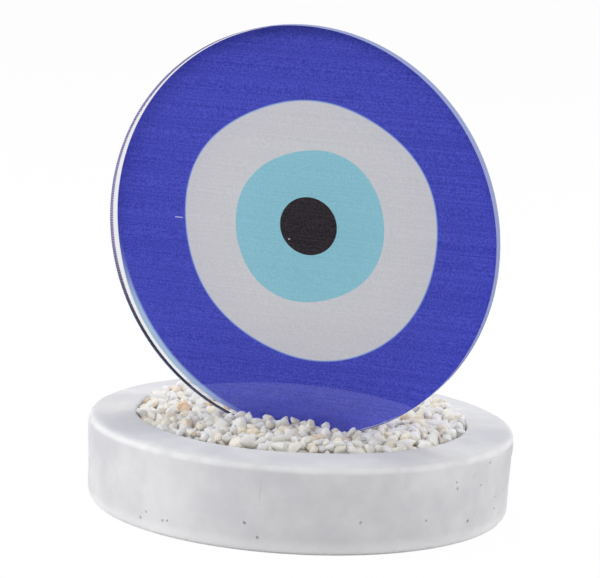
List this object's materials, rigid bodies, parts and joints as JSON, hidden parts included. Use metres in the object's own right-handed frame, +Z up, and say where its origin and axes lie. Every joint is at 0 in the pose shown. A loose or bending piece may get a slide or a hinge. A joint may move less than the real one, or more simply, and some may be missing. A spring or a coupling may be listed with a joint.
{
  "type": "evil eye ornament",
  "caption": "Printed clear acrylic disc with an eye pattern, standing by a tongue in a slot of a round cast base filled with pebbles.",
  "frame": {"origin": "centre of the base's underside", "axes": "+Z up; the printed eye looks towards -Y, leaning forward 3.8 degrees; +X to the right seen from the front"},
  "size_m": [0.1074, 0.106, 0.1208],
  "materials": {
    "cast_base": "matte cast white cement",
    "acrylic": "polished clear acrylic sheet, laser-cut edge",
    "blue_ink": "printed ink",
    "white_ink": "printed ink",
    "light_blue_ink": "printed ink",
    "black_ink": "printed ink",
    "pebbles": "crushed marble chips"
  },
  "bodies": {
    "stand": {"base": "cast_base", "pebble_bed": "pebbles", "pebble_01": "pebbles", "pebble_02": "pebbles", "pebble_03": "pebbles", "pebble_04": "pebbles", "pebble_05": "pebbles", "pebble_06": "pebbles", "pebble_07": "pebbles", "pebble_08": "pebbles", "pebble_09": "pebbles", "pebble_10": "pebbles", "pebble_11": "pebbles", "pebble_12": "pebbles", "pebble_13": "pebbles", "pebble_14": "pebbles", "pebble_15": "pebbles", "pebble_16": "pebbles", "pebble_17": "pebbles", "pebble_18": "pebbles", "pebble_19": "pebbles", "pebble_20": "pebbles", "pebble_21": "pebbles", "pebble_22": "pebbles", "pebble_23": "pebbles", "pebble_24": "pebbles", "pebble_25": "pebbles", "pebble_26": "pebbles", "pebble_27": "pebbles", "pebble_28": "pebbles", "pebble_29": "pebbles", "pebble_30": "pebbles", "pebble_31": "pebbles", "pebble_32": "pebbles", "pebble_33": "pebbles", "pebble_34": "pebbles", "pebble_35": "pebbles", "pebble_36": "pebbles", "pebble_37": "pebbles", "pebble_38": "pebbles", "pebble_39": "pebbles", "pebble_40": "pebbles", "pebble_41": "pebbles", "pebble_42": "pebbles", "pebble_43": "pebbles", "pebble_44": "pebbles", "pebble_45": "pebbles"},
    "eye": {"disc": "acrylic", "print_blue": "blue_ink", "print_white": "white_ink", "print_iris": "light_blue_ink", "print_pupil": "black_ink"}
  },
  "joints": [
    {"name": "disc_lift", "type": "slide", "parent": "stand", "child": "eye", "axis": [0, -0.0663, 0.9978], "range_m": [0, 0.03]}
  ]
}
